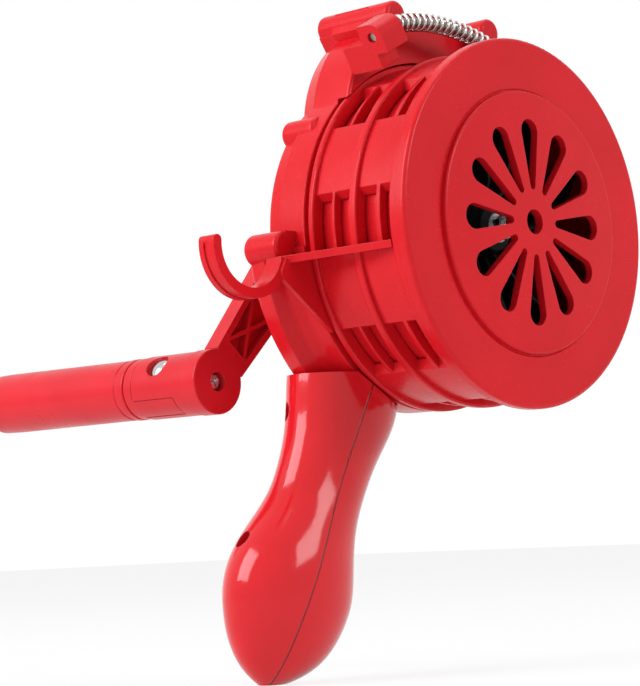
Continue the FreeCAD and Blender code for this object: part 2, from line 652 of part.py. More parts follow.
def rotor_ring():
    """Ported ring that opens and closes the stator's ports, with a flange for the impeller."""
    r_out = BORE_R - ROTOR_GAP
    r_in = r_out - RING_T
    ring = turned([(r_in, RING_Y[0]), (r_out, RING_Y[0], 0.4), (r_out, RING_Y[1], 0.4),
                   (34.0, RING_Y[1]), (34.0, RING_Y[1] - 2.4), (r_in, RING_Y[1] - 2.4)])
    half = PORT_HALF + 0.6
    reach = 8.0
    cutter = plate([(r_in - 1, -half), (r_in + reach, -half), (r_in + reach, half),
                    (r_in - 1, half)], RING_Y[0] + 3.2, RIB_A[0] - 3.0)
    ports = [turn_about(cutter, 360 / PORTS * (i + 0.5)) for i in range(PORTS)]
    holes = [cylinder(1.3, 38, 46, *polar(38.0, 90 * i + 45)) for i in range(4)]
    return ring.cut(ports + holes)


def vane(index):
    """One curved blade of the impeller, as a bent plate from the hub to the ring."""
    inner, outer = 12.0, FAN_R
    sweep = 26.0
    thick = 1.1
    count = 3
    points = [polar(inner + (outer - inner) * k / (count - 1), sweep * (k / (count - 1)) ** 1.3)
              for k in range(count)]
    edge = Part.Arc(*[V(x, 0, z) for x, z in points]).toShape()
    centre = edge.Curve.Center
    radius = edge.Curve.Radius
    band = cylinder(radius + thick / 2, 14.6, 39.4, centre.x, centre.z).cut(
        cylinder(radius - thick / 2, 14.0, 40.0, centre.x, centre.z))
    wedge = plate([polar(inner - 3, -14), polar(outer + 6, -14), polar(outer + 9, sweep + 8),
                   polar(inner - 3, sweep + 8)], 14, 40)
    blade = band.common(wedge).common(
        turned([(9.0, 20.0), (inner + 4, 16.0), (30.0, 14.8), (outer, 14.6), (outer, 39.2),
                (9.0, 39.2)]))
    return turn_about(max(blade.Solids, key=lambda s: s.Volume), 360 / VANES * index)


def impeller():
    """Black fan wheel: hub, back plate and curved blades."""
    hub = turned([(SHAFT_R + PUSH, 14.0), (8.0, 14.0, 1.0), (11.5, 30.0, 2.0), (14.0, 38.6),
                  (FAN_R, 38.6), (FAN_R, 41.0, 0.5), (12.6, 41.0), (9.6, 34.6, 0.5),
                  (SHAFT_R + PUSH, 34.6)])
    wheel = union([hub] + [vane(i) for i in range(VANES)])
    pilots = [cylinder(1.0, 37.0, 42, *polar(38.0, 90 * i + 45)) for i in range(4)]
    return wheel.cut(pilots)


def rotor_shaft():
    """Stepped steel shaft: threaded nose, seat for the impeller, collar, journals, pinion seat."""
    return turned([(0, 8.4), (SHAFT_R, 8.4, 0.4), (SHAFT_R, 34.6), (4.0, 34.6), (4.0, 35.2),
                   (SHAFT_R, 35.2), (SHAFT_R, 51.0), (PINION_SEAT_R, 51.0),
                   (PINION_SEAT_R, 56.2, 0.3), (0, 56.2)])


def flat_nut(flats, bore, y0, y1):
    """A plain hexagon nut."""
    corners = [polar(flats / math.sqrt(3), 60 * i + 30) for i in range(6)]
    return plate(corners, y0, y1).cut(cylinder(bore, y0 - 1, y1 + 1))


def ring(r_in, r_out, y0, y1, x=0.0, z=0.0):
    """A plain washer or bush."""
    return cylinder(r_out, y0, y1, x, z).cut(cylinder(r_in, y0 - 1, y1 + 1, x, z))


def pan_screw(x, z, head_y, head_r, head_t, shank_r, tip_y, toward_front=True):
    """A screw along Y with its head's underside at head_y."""
    if toward_front:
        head = turned([(0, head_y), (head_r, head_y), (head_r, head_y + head_t, head_t * 0.45),
                       (0, head_y + head_t)], x, z)
        return union([head, cylinder(shank_r, tip_y, head_y, x, z)])
    head = turned([(0, head_y), (head_r, head_y), (head_r, head_y - head_t, head_t * 0.45),
                   (0, head_y - head_t)], x, z)
    return union([head, cylinder(shank_r, head_y, tip_y, x, z)])


# Crank

def crank_point(along, across):
    """Point of the crank plane: along from the hub towards the grip, across to its left."""
    dx, dz = polar(1.0, CRANK_ANGLE)
    return dx * along - dz * across, CRANK_Z + dz * along + dx * across


def crank_shaft():
    """Crank shaft: front pivot, gear seat, shoulder, long journal and two flats for the arm."""
    shaft = turned([(0, 50.8), (3.0, 50.8, 0.4), (3.0, 57.0), (CRANK_SHAFT_R, 57.0),
                    (CRANK_SHAFT_R, 62.6), (8.0, 62.6), (8.0, 65.6), (CRANK_SHAFT_R, 65.6),
                    (CRANK_SHAFT_R, 92.4, 0.4), (0, 92.4)], 0, CRANK_Z)
    flats = [box(-10, 10, 84.4, 93, CRANK_Z + 3.5, CRANK_Z + 10),
             box(-10, 10, 84.4, 93, CRANK_Z - 10, CRANK_Z - 3.5)]
    bore = cylinder(1.8, 80.0, 93, 0, CRANK_Z)
    return shaft.cut(flats + [bore])


def crank_arm():
    """Tapered arm with a bordered recess that is braced by crossed ribs."""
    y0, y1 = ARM_Y, ARM_Y + ARM_T
    hub_x, hub_z = crank_point(0, 0)
    boss_x, boss_z = crank_point(CRANK_RADIUS, 0)
    taper = [crank_point(0, 12.4), crank_point(0, -12.4), crank_point(CRANK_RADIUS - 9, -7.4),
             crank_point(CRANK_RADIUS - 9, 7.4)]
    hub = turned([(0, 84.5), (HUB_R, 84.5, 0.6), (HUB_R, y1, 0.8), (0, y1)], hub_x, hub_z)
    boss = turned([(0, y0), (BOSS_R, y0, 0.5), (BOSS_R, y1), (0, y1)], boss_x, boss_z)
    arm = union([plate(taper, y0, y1), hub, boss])
    near, far = 16.0, CRANK_RADIUS - 14.5

    def half_width(along):
        """Half width of the recess at this distance from the hub."""
        return 12.4 - 5.0 * along / (CRANK_RADIUS - 9) - 2.3

    pocket = plate([crank_point(near, half_width(near)) + (1.5,),
                    crank_point(near, -half_width(near)) + (1.5,),
                    crank_point(far, -half_width(far)) + (1.5,),
                    crank_point(far, half_width(far)) + (1.5,)], y0 - 1, y0 + 4.4)
    cells = 3
    braces = []
    for i in range(cells):
        a = near + (far - near) * i / cells
        b = near + (far - near) * (i + 1) / cells
        for side in (-1, 1):
            start = V(*crank_point(a, side * half_width(a)))
            end = V(*crank_point(b, -side * half_width(b)))
            line = end - start
            line.normalize()
            off = V(-line.y, line.x, 0) * 0.7
            braces.append(plate([((start + off).x, (start + off).y),
                                 ((start - off).x, (start - off).y),
                                 ((end - off).x, (end - off).y),
                                 ((end + off).x, (end + off).y)], y0 + 0.8, y0 + 4.4))
    arm = union([arm.cut(pocket)] + [b.common(pocket) for b in braces])
    flat = cylinder(CRANK_SHAFT_R + PUSH, 80, 95, 0, CRANK_Z).common(
        box(-10, 10, 80, 95, CRANK_Z - 3.5 - PUSH, CRANK_Z + 3.5 + PUSH))
    cuts = [flat, cylinder(3.4, y0 - 1, y0 + 3.6, boss_x, boss_z),
            cylinder(1.7, y0, y1 + 1, boss_x, boss_z)]
    return arm.cut(cuts)


def fold_frame(shape):
    """Places a grip shape drawn at the origin: +X runs from the grip's axis to the hub."""
    copy = shape.copy()
    copy.rotate(ORIGIN, Y_AXIS, -(CRANK_ANGLE - 180))
    x, z = crank_point(CRANK_RADIUS, 0)
    copy.translate(V(x, 0, z))
    return copy


def grip_fork():
    """Fork on the arm's end; its inner corner is rounded so the grip can fold to the hub."""
    y0 = ARM_Y + ARM_T
    fork = turned([(0, y0), (NECK_R, y0), (NECK_R, FORK_END, 0.4), (0, FORK_END)])
    corner = box(0, 20, FOLD_Y, 130, -20, 20).cut(
        Part.makeCylinder(NECK_R, 60, V(0, FOLD_Y, -30), Z_AXIS))
    slot = box(-20, 20, FOLD_Y - TONGUE_R - 0.4, 130, -TONGUE_HALF - GAP, TONGUE_HALF + GAP)
    seats = [Part.makeCylinder(4.6, 4, V(0, FOLD_Y, 9.0), Z_AXIS),
             Part.makeCylinder(4.6, 4, V(0, FOLD_Y, -13.0), Z_AXIS)]
    pin = Part.makeCylinder(FOLD_PIN_R + PUSH, 40, V(0, FOLD_Y, -20), Z_AXIS)
    pilot = cylinder(1.1, y0 - 1, y0 + 5.2)
    return fold_frame(fork.cut([corner, slot, pin, pilot] + seats))


def fold_pin():
    """Rivet with a domed head at each end."""
    shank = Part.makeCylinder(FOLD_PIN_R, 18.0, V(0, FOLD_Y, -9.0), Z_AXIS)
    heads = []
    for side in (-1, 1):
        rise = 1.5
        head_r = 4.2
        ball_r = (head_r ** 2 + rise ** 2) / (2 * rise)
        ball = Part.makeSphere(ball_r, V(0, FOLD_Y, side * (9.0 + rise - ball_r)))
        cut = box(-20, 20, 80, 130, 9.0, 20) if side > 0 else box(-20, 20, 80, 130, -20, -9.0)
        heads.append(ball.common(cut))
    return fold_frame(union([shank] + heads))


def grip_spindle():
    """Tongue in the fork, collar and rod; the tongue's inner side clears the slot's floor."""
    tongue = cylinder(NECK_R - 0.1, FOLD_Y - TONGUE_R, 119.2).common(
        box(-20, TONGUE_R, 80, 130, -TONGUE_HALF, TONGUE_HALF))
    lower = box(0, 20, 80, FOLD_Y, -10, 10).cut(
        Part.makeCylinder(TONGUE_R, 40, V(0, FOLD_Y, -20), Z_AXIS))
    collar = turned([(0, 118.9), (10.7, 118.9, 0.4), (10.7, COLLAR_END, 0.6), (0, COLLAR_END)])
    tip = GRIP_END - ROD_INSET
    rod = turned([(0, COLLAR_END - 1), (SPINDLE_R, COLLAR_END - 1), (SPINDLE_R, tip, 0.5),
                  (0, tip)])
    body = union([tongue.cut(lower), collar, rod])
    pin = Part.makeCylinder(FOLD_PIN_R + RUN, 40, V(0, FOLD_Y, -20), Z_AXIS)
    return fold_frame(body.cut([pin, cylinder(1.3, tip - 11.4, tip + 0.6)]))


def crank_grip():
    """Turning sleeve with a lip at its near end and a rounded far end."""
    y0 = COLLAR_END + GAP
    sleeve = turned([(SPINDLE_R + RUN, y0), (10.8, y0, 0.6), (10.8, 126.6, 0.5), (10.3, 126.9),
                     (10.3, 128.0), (10.6, 128.3), (10.9, GRIP_END - 11.0, 30.0),
                     (10.7, GRIP_END, 3.2), (7.0, GRIP_END, 0.5), (7.0, GRIP_END - 8.0),
                     (SPINDLE_R + RUN, GRIP_END - 8.0)])
    return fold_frame(sleeve)


# Carry spring

def spring_path():
    """The spring's axis in the XZ plane: lug, bend, long arch, bend, lug, with both ends."""
    a = math.radians(LUG_TILT)
    p = math.radians(LEFT_SLOPE)
    q = math.radians(RIGHT_SLOPE)
    x0 = LUG_LEFT[0] + LUG_LENGTH * math.cos(a)
    z0 = LUG_LEFT[1] + LUG_LENGTH * math.sin(a)
    x1 = x0 + BEND_R * (math.sin(a) - math.sin(p))
    z1 = z0 + BEND_R * (math.cos(p) - math.cos(a))
    apex_z = z1 + ARCH_R * (1 - math.cos(p))
    centre_z = apex_z - ARCH_R
    centre_x = x1 + ARCH_R * math.sin(p)
    x2 = centre_x + ARCH_R * math.sin(q)
    z2 = centre_z + ARCH_R * math.cos(q)
    x3 = x2 + BEND_R * (math.sin(a) - math.sin(q))
    z3 = z2 - BEND_R * (math.cos(q) - math.cos(a))
    pieces = [("arc", BEND_R, LUG_TILT, LEFT_SLOPE, x0, z0),
              ("arc", ARCH_R, LEFT_SLOPE, -RIGHT_SLOPE, x1, z1),
              ("arc", BEND_R, -RIGHT_SLOPE, -LUG_TILT, x2, z2)]
    return {"pieces": pieces, "left_end": (x0, z0), "right_start": (x3, z3)}


def path_at(path, distance):
    """Point and slope in degrees at a distance along the bends and the arch."""
    for kind, radius, slope_in, slope_out, x, z in path["pieces"]:
        length = radius * math.radians(slope_in - slope_out)
        if distance <= length or kind == "last":
            break
        distance -= length
    slope = slope_in - math.degrees(distance / radius)
    a, b = math.radians(slope_in), math.radians(slope)
    return (x + radius * (math.sin(a) - math.sin(b)),
            z + radius * (math.cos(b) - math.cos(a)), slope)


def path_length(path):
    """Length of the bends and the arch together."""
    return sum(r * math.radians(s0 - s1) for _, r, s0, s1, _, _ in path["pieces"])


def biarc(p0, t0, p1, t1):
    """Two arcs that join two points with given unit tangents."""
    v = p1 - p0
    t = t0 + t1
    k = 2 * (1 - t0.dot(t1))
    vt = v.dot(t)
    d = (math.sqrt(vt * vt + k * v.dot(v)) - vt) / k
    q0 = p0 + t0 * d
    q1 = p1 - t1 * d
    middle = (q0 + q1) * 0.5

    def arc(start, corner, end):
        w = start.distanceToPoint(end) / 2 / start.distanceToPoint(corner)
        top = (start + corner * (2 * w) + end) * (1 / (2 + 2 * w))
        return Part.Arc(start, top, end).toShape()

    return [arc(p0, q0, middle), arc(middle, q1, p1)]


def carry_spring(path):
    """One unbroken round wire wound along the arch, its end turns resting on the lugs."""
    length = path_length(path)
    margin = WIRE_R + 0.05
    quarters = COIL_TURNS * 4

    def at(s):
        """Centre line of the wire at the share s of its turns."""
        ease = s
        along = margin + (length - 2 * margin) * ease
        x, z, slope = path_at(path, along)
        a = math.radians(slope)
        turn = 2 * math.pi * COIL_TURNS * s
        up = COIL_R * math.cos(turn)
        side = COIL_R * math.sin(turn)
        return V(x - up * math.sin(a), SPRING_Y + side, z + up * math.cos(a))

    def heading(s):
        """Unit tangent there."""
        step = 1e-4
        low, high = max(0.0, s - step), min(1.0, s + step)
        t = at(high) - at(low)
        t.normalize()
        return t

    samples = [at(i / (COIL_TURNS * 16)) for i in range(COIL_TURNS * 16 + 1)]
    nearest = min(samples[i].distanceToPoint(samples[j]) for i in range(len(samples))
                  for j in range(i + 10, min(len(samples), i + 40)))
    print("least gap between turns of the carry spring: %.2f mm" % (nearest - 2 * WIRE_R))
    edges = []
    for i in range(quarters):
        s0, s1 = i / quarters, (i + 1) / quarters
        edges += biarc(at(s0), heading(s0), at(s1), heading(s1))
    wire = Part.Wire(edges)
    section = Part.Wire([Part.Circle(at(0), heading(0), WIRE_R).toShape()])
    return wire.makePipeShell([section], True, False)


def spring_core(path):
    """Wire rope through the spring, straight inside the lugs, ends just inside the bores."""
    a = math.radians(LUG_TILT)
    x3, z3 = path["right_start"]
    inset = 1.0
    start = V(LUG_LEFT[0] + inset * math.cos(a), SPRING_Y, LUG_LEFT[1] + inset * math.sin(a))
    reach = LUG_LENGTH - inset
    end = V(x3 + reach * math.cos(a), SPRING_Y, z3 - reach * math.sin(a))
    points = [start]
    total = path_length(path)
    marks = [0.0]
    for kind, radius, s0, s1, x, z in path["pieces"]:
        marks.append(marks[-1] + radius * math.radians(s0 - s1))
    edges = [Part.makeLine(start, V(path["left_end"][0], SPRING_Y, path["left_end"][1]))]
    for m0, m1 in zip(marks, marks[1:]):
        three = [path_at(path, min(m, total - 1e-9)) for m in (m0 + 1e-9, (m0 + m1) / 2, m1 - 1e-9)]
        edges.append(Part.Arc(*[V(x, SPRING_Y, z) for x, z, _ in three]).toShape())
    edges.append(Part.makeLine(V(x3, SPRING_Y, z3), end))
    wire = Part.Wire(Part.__sortEdges__(edges))
    heading = V(math.cos(a), 0, math.sin(a))
    section = Part.Wire([Part.Circle(start, heading, CORE_R).toShape()])
    return wire.makePipeShell([section], True, False)


def main():
    """Builds every piece and writes it."""
    os.makedirs("parts", exist_ok=True)
    path = spring_path()
    frame = handle_frame()
    drum = stator_drum()
    body = gearbox_body(path)
    cover = gearbox_cover(frame)
    left, right = handle_shells(frame, body, cover)
    save("front_cover", front_cover())
    save("stator_drum", drum)
    save("belt_hook", belt_hook(drum))
    save("gearbox_body", body)
    save("gearbox_cover", cover)
    save("handle_shell_right", left)
    save("handle_shell_left", right)
    save("handle_screws", handle_screws(frame))
    screws = []
    for x, z, r, y0 in SCREW_BOSSES:
        for side in (-1, 1):
            screws.append(pan_screw(side * x, z, COVER_RIM_Y - 1.8, 2.8, 1.7, 1.1 - PUSH,
                                    SEAM_Y - 6.0))
    save("cover_screws", Part.makeCompound(screws))
    screws = []
    for i in range(4):
        x, z = polar(DRUM_SCREW_R, 45 + 90 * i)
        screws.append(pan_screw(x, z, FRONT_WALL[1], 2.7, 1.6, 1.1 - PUSH, DRUM_END - 2.7))
    save("drum_screws", Part.makeCompound(screws))

    save("rotor_ring", rotor_ring())
    save("impeller", impeller())
    screws = []
    for i in range(4):
        x, z = polar(38.0, 90 * i + 45)
        screws.append(pan_screw(x, z, RING_Y[1], 2.0, 0.5, 1.0 - PUSH, 37.4))
    save("rotor_screws", Part.makeCompound(screws))
    save("rotor_shaft", rotor_shaft())
    save("rotor_washer", ring(SHAFT_R + PUSH, 5.2, 13.2, 14.0))
    save("rotor_nut", flat_nut(8.0, SHAFT_R + PUSH, 9.6, 13.2))
    save("rotor_bush_front", ring(SHAFT_R + RUN, BUSH_R, 35.5, 40.5))
    save("rotor_bush_rear", ring(SHAFT_R + RUN, BUSH_R, 45.6, 50.6))
    save("rotor_pinion", rotor_pinion())
    save("idler_gear", idler_gear())
    save("idler_pinion", idler_pinion())
    save("idler_pin", cylinder(IDLER_PIN_R, 48.2, 67.2, IDLER_X, IDLER_Z))
    save("crank_gear", crank_gear())
    save("crank_shaft", crank_shaft())
    bush = turned([(CRANK_SHAFT_R + RUN, 65.9), (7.0, 65.9), (7.0, 83.6), (9.0, 83.6),
                   (9.0, 84.3), (CRANK_SHAFT_R + RUN, 84.3)], 0, CRANK_Z)
    save("crank_bush", bush)
    save("crank_arm", crank_arm())
    save("crank_washer", ring(1.9, 7.0, ARM_Y + ARM_T, ARM_Y + ARM_T + 0.8, 0, CRANK_Z))
    save("crank_screw", pan_screw(0, CRANK_Z, ARM_Y + ARM_T + 0.8, 4.2, 2.2, 1.8 - PUSH, 81.0))
    save("grip_fork", grip_fork())
    x, z = crank_point(CRANK_RADIUS, 0)
    save("fork_screw", pan_screw(x, z, ARM_Y + 3.6, 3.1, 1.9, 1.1 - PUSH, 97.4, False))
    save("fold_pin", fold_pin())
    save("grip_spindle", grip_spindle())
    save("crank_grip", crank_grip())
    rod_end = GRIP_END - ROD_INSET
    save("grip_washer", ring(1.4, 6.0, rod_end, rod_end + 0.8, x, z))
    save("grip_screw", pan_screw(x, z, rod_end + 0.8, 3.0, 1.8, 1.3 - PUSH, rod_end - 10.4))
    save("carry_spring", carry_spring(path))
    save("spring_core", spring_core(path))


main()
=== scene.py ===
"""Looks, light and camera for the hand crank siren.

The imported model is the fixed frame: metres, rotor axis along Y, sound leaving towards -Y, +Z up.
Every node keeps its place; this script gives the finishes and models the small pieces that the
solids leave plain: crosshead screws and the laid rope inside the carry spring.
"""

import json
import logging
import math
from dataclasses import dataclass, field
from enum import Enum
from typing import Callable, Sequence

import bpy
from mathutils import Matrix, Vector

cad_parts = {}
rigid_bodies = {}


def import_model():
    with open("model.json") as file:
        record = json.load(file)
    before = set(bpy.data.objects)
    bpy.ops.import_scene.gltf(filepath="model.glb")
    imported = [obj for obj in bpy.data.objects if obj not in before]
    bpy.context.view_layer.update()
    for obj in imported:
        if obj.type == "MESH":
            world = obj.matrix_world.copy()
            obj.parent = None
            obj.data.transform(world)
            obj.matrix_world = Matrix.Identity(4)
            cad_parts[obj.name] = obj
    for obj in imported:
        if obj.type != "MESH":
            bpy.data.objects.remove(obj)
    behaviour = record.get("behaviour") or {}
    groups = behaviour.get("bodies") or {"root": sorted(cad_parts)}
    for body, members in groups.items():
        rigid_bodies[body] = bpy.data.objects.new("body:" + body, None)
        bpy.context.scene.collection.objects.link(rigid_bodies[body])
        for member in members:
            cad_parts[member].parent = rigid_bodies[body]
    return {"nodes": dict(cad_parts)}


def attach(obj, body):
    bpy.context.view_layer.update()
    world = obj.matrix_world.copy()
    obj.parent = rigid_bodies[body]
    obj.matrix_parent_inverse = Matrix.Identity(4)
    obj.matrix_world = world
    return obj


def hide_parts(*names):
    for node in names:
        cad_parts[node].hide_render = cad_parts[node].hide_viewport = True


LOG = logging.getLogger("siren")
Colour = tuple[float, float, float]
Point = tuple[float, float, float]
MM = 0.001


class Slot(Enum):
    """Names of material slots in the record; nothing in this script reads them."""

    RED = "red_gloss"
    CRANK_RED = "red_crank"
    BLACK = "black_plastic"
    NYLON = "white_nylon"
    STEEL = "bright_steel"
    BRONZE = "bronze"
    ZINC = "zinc_screw"
    ROPE = "dark_rope"


# Node graphs

class Graph:
    """A small helper that adds shader nodes and links them by name."""

    def __init__(self, name: str) -> None:
        """Starts an empty node material.

        Args:
            name: name of the material.
        """
        self.material = bpy.data.materials.new(name)
        self.material.use_nodes = True
        self.tree = self.material.node_tree
        self.tree.nodes.clear()
        self.output = self.tree.nodes.new("ShaderNodeOutputMaterial")
        self.place = self.add("ShaderNodeTexCoord").outputs["Object"]

    def add(self, kind: str, **settings: object) -> bpy.types.Node:
        """Adds a node.

        Args:
            kind: Blender's class name of the node.
            **settings: properties of the node.

        Returns:
            The new node.
        """
        node = self.tree.nodes.new(kind)
        for key, value in settings.items():
            setattr(node, key, value)
        return node

    def link(self, source: bpy.types.NodeSocket, target: bpy.types.NodeSocket) -> None:
        """Links two sockets."""
        self.tree.links.new(source, target)

    def noise(self, scale: float, detail: float = 3.0, rough: float = 0.5,
              stretch: Point | None = None, turn: Point = (0.0, 0.0, 0.0)
              ) -> bpy.types.NodeSocket:
        """Adds a noise read from Object coordinates.

        Args:
            scale: cells per metre.
            detail: octaves.
            rough: roughness of the octaves.
            stretch: scale of the coordinates on each axis, for streaks.
            turn: turn of the coordinates in radians.

        Returns:
            The noise's factor socket.
        """
        node = self.add("ShaderNodeTexNoise")
        node.inputs["Scale"].default_value = scale
        node.inputs["Detail"].default_value = detail
        node.inputs["Roughness"].default_value = rough
        place = self.place
        if stretch is not None:
            mapping = self.add("ShaderNodeMapping")
            mapping.inputs["Scale"].default_value = stretch
            mapping.inputs["Rotation"].default_value = turn
            self.link(place, mapping.inputs["Vector"])
            place = mapping.outputs["Vector"]
        self.link(place, node.inputs["Vector"])
        return node.outputs["Fac"]

    def steps(self, source: bpy.types.NodeSocket, low: float, high: float,
              to_low: float = 0.0, to_high: float = 1.0) -> bpy.types.NodeSocket:
        """Maps a range of values to another one, clamped.

        Args:
            source: value to map.
            low: start of its range.
            high: end of its range.
            to_low: value at the start.
            to_high: value at the end.

        Returns:
            The mapped value's socket.
        """
        node = self.add("ShaderNodeMapRange")
        node.inputs["From Min"].default_value = low
        node.inputs["From Max"].default_value = high
        node.inputs["To Min"].default_value = to_low
        node.inputs["To Max"].default_value = to_high
        self.link(source, node.inputs["Value"])
        return node.outputs["Result"]

    def blend(self, factor: bpy.types.NodeSocket, first: Colour | bpy.types.NodeSocket,
              second: Colour | bpy.types.NodeSocket) -> bpy.types.NodeSocket:
        """Mixes two colours.

        Args:
            factor: share of the second colour.
            first: colour at 0.
            second: colour at 1.

        Returns:
            The mixed colour's socket.
        """
        node = self.add("ShaderNodeMix", data_type="RGBA")
        self.link(factor, node.inputs["Factor"])
        for value, socket in ((first, node.inputs[6]), (second, node.inputs[7])):
            if isinstance(value, tuple):
                socket.default_value = (*value, 1.0)
            else:
                self.link(value, socket)
        return node.outputs[2]

    def calc(self, how: str, first: bpy.types.NodeSocket | float,
             second: bpy.types.NodeSocket | float) -> bpy.types.NodeSocket:
        """Joins two values by a sum, product or other operation.

        Args:
            how: operation name.
            first: left value.
            second: right value.

        Returns:
            The result's socket.
        """
        node = self.add("ShaderNodeMath", operation=how)
        for value, socket in ((first, node.inputs[0]), (second, node.inputs[1])):
            if isinstance(value, float):
                socket.default_value = value
            else:
                self.link(value, socket)
        return node.outputs[0]

    def edges(self, radius: float) -> tuple[bpy.types.NodeSocket, bpy.types.NodeSocket]:
        """Reads soft edges of that radius.

        Args:
            radius: radius of the softened edge in metres.

        Returns:
            The softened normal, and a mask that is 1 on the edges.
        """
        bevel = self.add("ShaderNodeBevel", samples=4)
        bevel.inputs["Radius"].default_value = radius
        flat = self.add("ShaderNodeNewGeometry")
        dot = self.add("ShaderNodeVectorMath", operation="DOT_PRODUCT")
        self.link(bevel.outputs["Normal"], dot.inputs[0])
        self.link(flat.outputs["Normal"], dot.inputs[1])
        return bevel.outputs["Normal"], self.steps(dot.outputs["Value"], 0.995, 0.90)

    def bump(self, height: bpy.types.NodeSocket, strength: float, depth: float,
             normal: bpy.types.NodeSocket | None = None) -> bpy.types.NodeSocket:
        """Turns a height into a bumped normal.

        Args:
            height: height value.
            strength: share of the bump that shows.
            depth: size of the bump in metres.
            normal: normal to start from.

        Returns:
            The bumped normal's socket.
        """
        node = self.add("ShaderNodeBump")
        node.inputs["Strength"].default_value = strength
        node.inputs["Distance"].default_value = depth
        self.link(height, node.inputs["Height"])
        if normal is not None:
            self.link(normal, node.inputs["Normal"])
        return node.outputs["Normal"]

    def surface(self, colour: bpy.types.NodeSocket, roughness: bpy.types.NodeSocket,
                normal: bpy.types.NodeSocket, metallic: float = 0.0, ior: float = 1.5,
                coat: float = 0.0, level: float = 0.5, scatter: float = 0.0,
                scatter_depth: Colour = (1.0, 0.2, 0.1)) -> bpy.types.Material:
        """Closes the graph with one surface shader.

        Args:
            colour: base colour.
            roughness: roughness value.
            normal: bumped normal.
            metallic: 1 for metal.
            ior: index of refraction.
            coat: strength of the clear top gloss.
            level: strength of the plain reflection, 0.5 for the full one.
            scatter: share of light that goes into the plastic.
            scatter_depth: how far each colour goes in, as shares of 1 mm.

        Returns:
            The finished material.
        """
        shader = self.add("ShaderNodeBsdfPrincipled")
        shader.inputs["Metallic"].default_value = metallic
        shader.inputs["IOR"].default_value = ior
        shader.inputs["Coat Weight"].default_value = coat
        shader.inputs["Coat Roughness"].default_value = 0.04
        shader.inputs["Specular IOR Level"].default_value = level
        if scatter > 0:
            shader.inputs["Subsurface Weight"].default_value = scatter
            shader.inputs["Subsurface Radius"].default_value = scatter_depth
            shader.inputs["Subsurface Scale"].default_value = MM
        self.link(colour, shader.inputs["Base Color"])
        self.link(roughness, shader.inputs["Roughness"])
        self.link(normal, shader.inputs["Normal"])
        self.link(shader.outputs["BSDF"], self.output.inputs["Surface"])
        return self.material


# Finishes

@dataclass(frozen=True)
class SeamLine:
    """The fine groove where two moulded halves meet, along one plane."""

    through: Point
    normal: Point
    half_width: float = 0.22 * MM

    def cut(self, g: Graph, colour: bpy.types.NodeSocket, normal: bpy.types.NodeSocket
            ) -> tuple[bpy.types.NodeSocket, bpy.types.NodeSocket]:
        """Darkens and sinks the surface along the plane.

        Args:
            g: graph of the finish.
            colour: colour so far.
            normal: normal so far.

        Returns:
            The new colour and normal.
        """
        dot = g.add("ShaderNodeVectorMath", operation="DOT_PRODUCT")
        g.link(g.place, dot.inputs[0])
        dot.inputs[1].default_value = self.normal
        offset = sum(a * b for a, b in zip(self.through, self.normal))
        away = g.calc("ABSOLUTE", g.calc("SUBTRACT", dot.outputs["Value"], offset), 0.0)
        inside = g.steps(away, self.half_width * 1.6, self.half_width * 0.5)
        colour = g.blend(g.calc("MULTIPLY", inside, 0.8), colour, (0.10, 0.002, 0.004))
        depth = g.steps(away, self.half_width * 0.6, self.half_width * 2.2)
        return colour, g.bump(depth, 0.8, 0.3 * MM, normal)


@dataclass(frozen=True)
class MouldedPlastic:
    """Injection moulded plastic: flow mottling, orange peel, hair scratches and worn edges, whose
    lighter colour is partly a painted edge highlight.
    """

    name: str
    body: Colour
    shade: Colour
    # lighter colour for the edges: partly wear, partly a painted edge highlight
    worn_edge_highlight: Colour
    roughness: float = 0.22
    peel: float = 0.06
    grain: float = 0.0
    scratch: float = 0.07
    coat: float = 0.0
    soft_edge: float = 0.35 * MM
    dust: float = 0.0
    level: float = 0.20
    seam: SeamLine | None = None

    def material(self) -> bpy.types.Material:
        """Builds the node material.

        Returns:
            The material.
        """
        g = Graph(self.name)
        flow = g.noise(26.0, 4.0, 0.55)
        colour = g.blend(g.steps(flow, 0.32, 0.68), self.shade, self.body)
        soft, rim = g.edges(self.soft_edge)
        # Painted edge highlight: lighter colour on the softened edges, broken up by a noise as
        # wear; the same mask also roughens the edges as wear.
        wear_and_highlight = g.calc("MULTIPLY", rim, g.steps(g.noise(240.0, 3.0, 0.6), 0.40, 0.75))
        colour = g.blend(wear_and_highlight, colour, self.worn_edge_highlight)
        hair = g.noise(14.0, 1.0, 0.4, stretch=(1.0, 60.0, 9.0), turn=(0.5, 0.2, 0.7))
        hair_mask = g.steps(hair, 0.66, 0.74)
        cloud = g.noise(60.0, 5.0, 0.6)
        if self.dust > 0:
            colour = g.blend(g.calc("MULTIPLY", g.steps(cloud, 0.55, 0.8), self.dust), colour,
                             tuple(0.5 * c + 0.25 for c in self.worn_edge_highlight))
        rough = g.steps(cloud, 0.3, 0.75, self.roughness * 0.8, self.roughness * 1.35)
        rough = g.calc("ADD", rough, g.calc("MULTIPLY", hair_mask, self.scratch))
        rough = g.calc("ADD", rough, g.calc("MULTIPLY", wear_and_highlight, 0.12))
        normal = g.bump(g.noise(330.0, 2.0, 0.4), self.peel, 0.25 * MM, soft)
        if self.grain > 0:
            normal = g.bump(g.noise(2600.0, 2.0, 0.5), self.grain, 0.06 * MM, normal)
        if self.seam is not None:
            colour, normal = self.seam.cut(g, colour, normal)
        return g.surface(colour, rough, normal, coat=self.coat, level=self.level, scatter=0.04)


